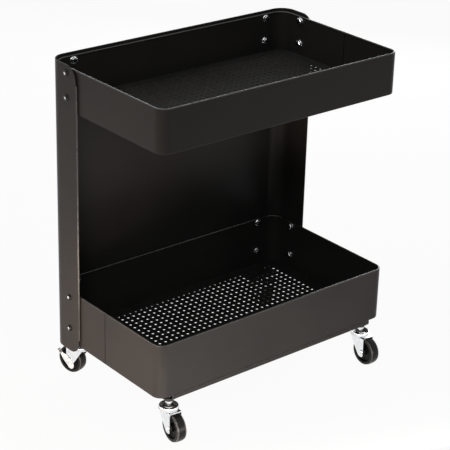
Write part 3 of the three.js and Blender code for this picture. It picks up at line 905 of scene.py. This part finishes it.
def axle_rivet(extra):
    """A rivet with a head at both ends, and a longer shank on the side where a lever sits."""
    far = [(radius, height + RIVET_GRIP + extra) for radius, height in RIVET_HEAD]
    near = [(radius, -height - RIVET_GRIP) for radius, height in reversed(RIVET_HEAD)]
    return spun(far + near, RIVET_STEPS)


print("dish", 2 * max(DISH)[0], "mm across")

# %% Turn the wheel
WHEEL_HALF = ((2.8, 9.7), (6.3, 9.7), (7, 9.2), (7, 5.0), (7.4, 4.2), (8.2, 3.8), (16.2, 3.5), (17.2, 3.9),
              (17.8, 4.8), (18.8, 7.8), (19.4, 8.4), (20.2, 8.5), (22.9, 8.5), (23.6, 8.3), (24.1, 7.8),
              (24.2, 7.2), (24.1, 6.6), (24.4, 6.1), (24.8, 5.4), (25, 4.2), (25, 2.0))
WHEEL_STEPS = 56
TREAD_INNER = 19.0 * MM
TREAD_EDGE = (23.7 * MM, 24.3 * MM)


def moulded_wheel():
    """The profile runs from the hub's face out to the tread, and is mirrored to the other face."""
    mirror = [(radius, -height) for radius, height in reversed(WHEEL_HALF)]
    bm = spun([*WHEEL_HALF, *mirror, WHEEL_HALF[0]], WHEEL_STEPS)
    # The band at the tread's edge takes the third finish, painted lighter as a painted highlight.
    for face in bm.faces:
        reach = face.calc_center_median().xy.length
        on_edge = TREAD_EDGE[0] < reach < TREAD_EDGE[1]
        face.material_index = 2 if on_edge else 0 if reach > TREAD_INNER else 1
    return bm


print("wheel", 2 * max(WHEEL_HALF)[0], "mm across")

# %% [markdown]
# ## The fork
# The fork is pressed from one blank: a disc that holds the dish, drawn out to a tongue, a bend down each
# side of the tongue, and a leg that tapers to the axle. It could be carved out of a block, but then its
# wall would not be even. Folding it like the panel gives the real bends, and Solidify the even wall.

# %% Cut the fork's blank
CROWN_RADIUS = 16.8
CROWN_STEPS = 48
CROWN_HOLE = 14.5
CROWN_TOP = 53.2
CROWN_REACH = 22.5
TONGUE_HALF = 9.2
TONGUE_CUTS = 5


def crown_blank(meet):
    """The flat blank: a disc, cut across, drawn out to a tongue, with a hole for the dish."""
    bm = bmesh.new()
    bmesh.ops.create_circle(bm, cap_ends=True, segments=CROWN_STEPS, radius=CROWN_RADIUS * MM)
    bmesh.ops.bisect_plane(bm, geom=bm.verts[:] + bm.edges[:] + bm.faces[:], dist=WELD,
                           plane_co=(0, -meet, 0), plane_no=(0, 1, 0), clear_inner=True)
    cut = next(edge for edge in bm.edges if all(abs(v.co.y + meet) < WELD for v in edge.verts))
    front = drawn_edge(bm, cut, (0, meet - CROWN_REACH * MM, 0))
    bmesh.ops.dissolve_edges(bm, edges=[cut])
    bmesh.ops.bisect_edges(bm, edges=[front], cuts=TONGUE_CUTS)
    bmesh.ops.delete(bm, geom=bm.faces[:], context="FACES_ONLY")
    outline = bm.edges[:]
    fresh, _ = new_verts_after(bm, lambda: bmesh.ops.extrude_edge_only(bm, edges=outline))
    for vert in fresh:
        vert.co = vert.co.normalized() * CROWN_HOLE * MM
    return moved(bm, Matrix.Translation((0, 0, CROWN_TOP * MM)))


print("fork blank", 2 * CROWN_RADIUS, "mm across")

# %% Bend the fork's legs
FORK_SHEET = 2.2 * MM
FORK_BEND = 3.0
FORK_BEND_STEPS = 6
LEG_FOOT = 15.5
LEG_REAR = 11.5
LEG_TOE = -22.8
LEG_HEEL = -12.4
LEG_BELLY = (-3.0, 28.0)
TOE_ROUND = (4.2 * MM, 8)
HEEL_ROUND = (3.2 * MM, 6)
BELLY_ROUND = (7 * MM, 5)


def add_leg(bm, side, meet):
    """Bends the tongue's side edge down, draws the leg out and tapers it to a round toe."""
    tongue = [e for e in bm.edges if e.is_boundary
              and all(v.co.y < WELD - meet and v.co.x * side > 0 for v in e.verts)]
    edge = max(tongue, key=lambda e: e.calc_length())
    bend_centre = (edge.verts[0].co.x, 0, (CROWN_TOP - FORK_BEND) * MM)
    edge = bent_edge(bm, edge, bend_centre, (0, 1, 0), side * math.pi / 2, FORK_BEND_STEPS)
    top = max(edge.verts, key=lambda vert: vert.co.y)
    edge = drawn_edge(bm, edge, (0, 0, (LEG_FOOT - CROWN_TOP + FORK_BEND) * MM))
    toe, heel = sorted(edge.verts, key=lambda vert: vert.co.y)
    toe.co.y = LEG_TOE * MM
    heel.co.y = LEG_HEEL * MM
    belly = bm.verts.new((top.co.x, LEG_BELLY[0] * MM, LEG_BELLY[1] * MM))
    rear = bm.verts.new((top.co.x, LEG_REAR * MM, top.co.z))
    bm.faces.new((top, heel, belly, rear))
    bmesh.ops.dissolve_edges(bm, edges=[bm.edges.get((top, heel))])
    for corner, rounding in ((toe, TOE_ROUND), (heel, HEEL_ROUND), (belly, BELLY_ROUND)):
        rounded_corner(bm, corner, *rounding)


def folded_fork():
    meet = math.sqrt(CROWN_RADIUS ** 2 - TONGUE_HALF ** 2) * MM
    bm = crown_blank(meet)
    for side in (-1, 1):
        add_leg(bm, side, meet)
    cleaned(bm)
    if max(bm.faces, key=lambda face: face.calc_center_median().z).normal.z < 0:
        bmesh.ops.reverse_faces(bm, faces=bm.faces[:])
    return bm


print("fork", round(CROWN_TOP - LEG_FOOT, 1), "mm tall")

# %% [markdown]
# ## The brake lever
# Each rear caster has a lever on its axle: a flat blade with a round tail, and a small pedal bent out of
# its upper end. A scaled cube would have no bend to catch the light, so the blade's outline is one face,
# and the pedal is spun and extruded from its edge.

# %% Press the lever
LEVER_SHEET = 1.8
LEVER_RISE = math.radians(44)
LEVER_TAIL = 10.0
LEVER_HALF = 6.5
LEVER_SHOULDER = 8
LEVER_NECK = 17.0
LEVER_NECK_LOW = 4.6
LEVER_REACH = 26.5
LEVER_TAIL_TURN = 20
PEDAL_LIFT = 3.4
PEDAL_BEND = 2.4
PEDAL_BEND_STEPS = 5
PEDAL_WIDTH = 9.0
PEDAL_ROUND = 2


def brake_lever():
    """A blade on the plane x = 0, its length along -Y, with a pedal bent out towards +X."""
    fold = PEDAL_LIFT - PEDAL_BEND
    turns = [math.radians(turn) for turn in range(0, 181, LEVER_TAIL_TURN)]
    outline = [(LEVER_TAIL + LEVER_HALF * math.sin(turn), LEVER_HALF * math.cos(turn)) for turn in turns]
    outline += [(-LEVER_SHOULDER, -LEVER_HALF), (-LEVER_NECK, -LEVER_NECK_LOW), (-LEVER_REACH, fold),
                (-LEVER_NECK, fold), (-LEVER_SHOULDER, LEVER_HALF)]
    bm = bmesh.new()
    bm.faces.new([bm.verts.new((0, y * MM, z * MM)) for y, z in outline])
    edge = next(e for e in bm.edges if all(
        abs(v.co.z - fold * MM) < WELD and v.co.y < WELD - LEVER_NECK * MM for v in e.verts))
    bend_centre = (PEDAL_BEND * MM, 0, fold * MM)
    edge = bent_edge(bm, edge, bend_centre, (0, 1, 0), math.pi / 2, PEDAL_BEND_STEPS)
    edge = drawn_edge(bm, edge, ((PEDAL_WIDTH - PEDAL_BEND) * MM, 0, 0))
    for corner in edge.verts[:]:
        rounded_corner(bm, corner, PEDAL_ROUND * MM, PEDAL_BEND_STEPS)
    return facing(cleaned(bm), (-1, 0, 0))


print("lever", LEVER_TAIL + LEVER_HALF + LEVER_REACH, "mm long")

# %% [markdown]
# ## The casters together
# The joints of the frame give each caster's place and the way it is turned: the swivel's point stands
# the stem and dish, and the roll axis turns the fork and carries rivet, wheel and lever. Typing the
# places in again could put them out of step with the joints, so they are read instead.

# %% Put the casters together
RIVET_SLACK = 0.3
joints = {joint["name"]: joint for joint in frame["joints"]}
for corner in ("front_left", "front_right", "rear_left", "rear_right"):
    axis = Vector(joints[f"roll_{corner}"]["axis"])
    hub = Vector(joints[f"roll_{corner}"]["pos_m"])
    pivot = Vector(joints[f"swivel_{corner}"]["pos_m"])
    upright = Matrix.Translation((pivot.x, pivot.y, 0))
    turn = math.atan2(axis.y, axis.x)
    heading = Matrix.Rotation(turn, 4, "Z")
    turned = upright @ heading
    on_axle = along(hub, axis)
    swivel = f"caster_{corner}"
    braked = f"brake_{corner}" in joints
    add_piece(moved(spun(STEM, ROUND_STEPS), upright), f"turned_stem_{corner}", "cart",
              [shiny_zinc], [f"stem_{corner}"])
    add_piece(moved(folded_fork(), turned), f"folded_fork_{corner}", swivel, [shiny_zinc],
              [f"fork_{corner}"], wall=FORK_SHEET, edge=EDGE_ROUND)
    add_piece(moved(spun(DISH, ROUND_STEPS), turned), f"swivel_dish_{corner}", swivel,
              [shiny_zinc])
    rivet = axle_rivet(LEVER_SHEET + RIVET_SLACK if braked else 0)
    add_piece(moved(rivet, on_axle), f"axle_rivet_{corner}", swivel, [shiny_zinc],
              [f"axle_{corner}"])
    add_piece(moved(moulded_wheel(), on_axle), f"moulded_wheel_{corner}", f"wheel_{corner}",
              [wheel_rubber, wheel_centre, wheel_edge_highlight], [f"wheel_{corner}"])
    if braked:
        beside_leg = Matrix.Translation((RIVET_GRIP * MM, 0, 0)) @ Matrix.Rotation(-LEVER_RISE, 4, "X")
        lever = moved(brake_lever(), Matrix.Translation(hub) @ heading @ beside_leg)
        add_piece(lever, f"pressed_lever_{corner}", f"brake_{corner}", [satin_zinc],
                  [f"brake_lever_{corner}"], wall=LEVER_SHEET * MM, edge=EDGE_ROUND)
    print(corner, "caster turned", round(math.degrees(turn)), "degrees")

# %% [markdown]
# ## Floor and background
# The cart stands on a plain white floor. A floor lit to white would throw too much light up at the cart,
# so the floor is mostly an even white where the camera sees it, straight on or in a reflection, and a
# plain pale surface to all other light. The small pale share that the camera sees keeps the shadow.

# %% Lay the floor
FLOOR_HALF = 12.0

floor_mesh = bpy.data.meshes.new("studio_floor")
bm = bmesh.new()
bmesh.ops.create_grid(bm, x_segments=1, y_segments=1, size=FLOOR_HALF)
bm.to_mesh(floor_mesh)
bm.free()
studio_floor = bpy.data.objects.new("studio_floor", floor_mesh)
bpy.context.scene.collection.objects.link(studio_floor)
studio_floor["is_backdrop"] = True
print("floor", 2 * FLOOR_HALF, "m wide")

# %% Whiten the floor
FLOOR_PALE = (0.92, 0.92, 0.92, 1)
FLOOR_GLOW = 0.95


def add_seen_rays(tree):
    """One where the camera sees the surface, straight on, in a reflection or through glass."""
    paths = tree.nodes.new("ShaderNodeLightPath")
    seen = paths.outputs["Is Camera Ray"]
    for ray in ("Is Glossy Ray", "Is Transmission Ray"):
        either = tree.nodes.new("ShaderNodeMath")
        either.operation = "MAXIMUM"
        tree.links.new(seen, either.inputs[0])
        tree.links.new(paths.outputs[ray], either.inputs[1])
        seen = either.outputs["Value"]
    return seen


floor_white = bpy.data.materials.new("floor_white")
floor_white.use_nodes = True
tree = floor_white.node_tree
shader = tree.nodes["Principled BSDF"]
shader.inputs["Base Color"].default_value = FLOOR_PALE
shader.inputs["Roughness"].default_value = 1.0
shader.inputs["Specular IOR Level"].default_value = 0.0
plain_white = tree.nodes.new("ShaderNodeEmission")
blend_white = tree.nodes.new("ShaderNodeMixShader")
share = tree.nodes.new("ShaderNodeMath")
share.operation = "MULTIPLY"
share.inputs[1].default_value = FLOOR_GLOW
tree.links.new(add_seen_rays(tree), share.inputs[0])
tree.links.new(share.outputs["Value"], blend_white.inputs["Fac"])
tree.links.new(shader.outputs["BSDF"], blend_white.inputs[1])
tree.links.new(plain_white.outputs["Emission"], blend_white.inputs[2])
tree.links.new(blend_white.outputs["Shader"], tree.nodes["Material Output"].inputs["Surface"])
floor_mesh.materials.append(floor_white)
print("white share of the floor", FLOOR_GLOW)

# %% [markdown]
# ## Light
# One big lamp could light the cart, but the real cart is brightest low on its left side, weaker at the
# front and darkest inside. So a long, low, warm lamp stands at the left and a smaller one in front, both
# close to the cart, and three soft lamps further off, at the camera's side, behind and above, fill the
# rest at a plain level. The world adds a little light from everywhere, and shows white to the camera and
# in reflections.

# %% Light the studio
AMBIENT = 0.06
SOFTBOXES = {
    "left_softbox": ((-0.64, -0.06, 0.04), (-0.25, -0.05, 0.1), (0.8, 0.1), 3.0, (1.0, 0.79, 0.65)),
    "front_softbox": ((-0.08, -0.36, 0.03), (0, -0.14, 0.1), (0.9, 0.06), 1.1, (1.0, 0.93, 0.89)),
    "key_softbox": ((-1.7, -1.5, 1.9), (0, 0, 0.4), (0.5, 0.5), 7, (1, 1, 1)),
    "rear_softbox": ((1.4, 1.3, 0.7), (0.1, 0.1, 0.3), (1.2, 0.8), 14, (1, 1, 1)),
    "top_softbox": ((-0.6, 0.6, 2.6), (0, 0, 0.3), (1.6, 1.6), 8, (1, 1, 1)),
}

world = bpy.data.worlds.new("studio")
bpy.context.scene.world = world
world.use_nodes = True
tree = world.node_tree
background = tree.nodes["Background"]
background.inputs["Color"].default_value = (1, 1, 1, 1)
level = add_range(tree, add_seen_rays(tree), 0, 1, AMBIENT, 1.0)
tree.links.new(level, background.inputs["Strength"])

for name, (place, target, size, power, colour) in SOFTBOXES.items():
    lamp_data = bpy.data.lights.new(name, "AREA")
    lamp_data.shape = "RECTANGLE"
    lamp_data.size, lamp_data.size_y = size
    lamp_data.energy = power
    lamp_data.color = colour
    lamp = bpy.data.objects.new(name, lamp_data)
    aim = (Vector(target) - Vector(place)).to_track_quat("-Z", "Y")
    lamp.matrix_world = Matrix.LocRotScale(Vector(place), aim, None)
    lamp.visible_camera = False
    bpy.context.scene.collection.objects.link(lamp)
bpy.context.scene.view_settings.view_transform = "Standard"

# %% [markdown]
# ## Sizes
# The dressed cart has to fill the same box as its solids. It could be measured by hand, but here its
# box is measured and printed.

# %% Measure and print the size
low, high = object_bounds()
print("visual box", [round((top - foot) / MM, 1) for foot, top in zip(low, high)], "mm")
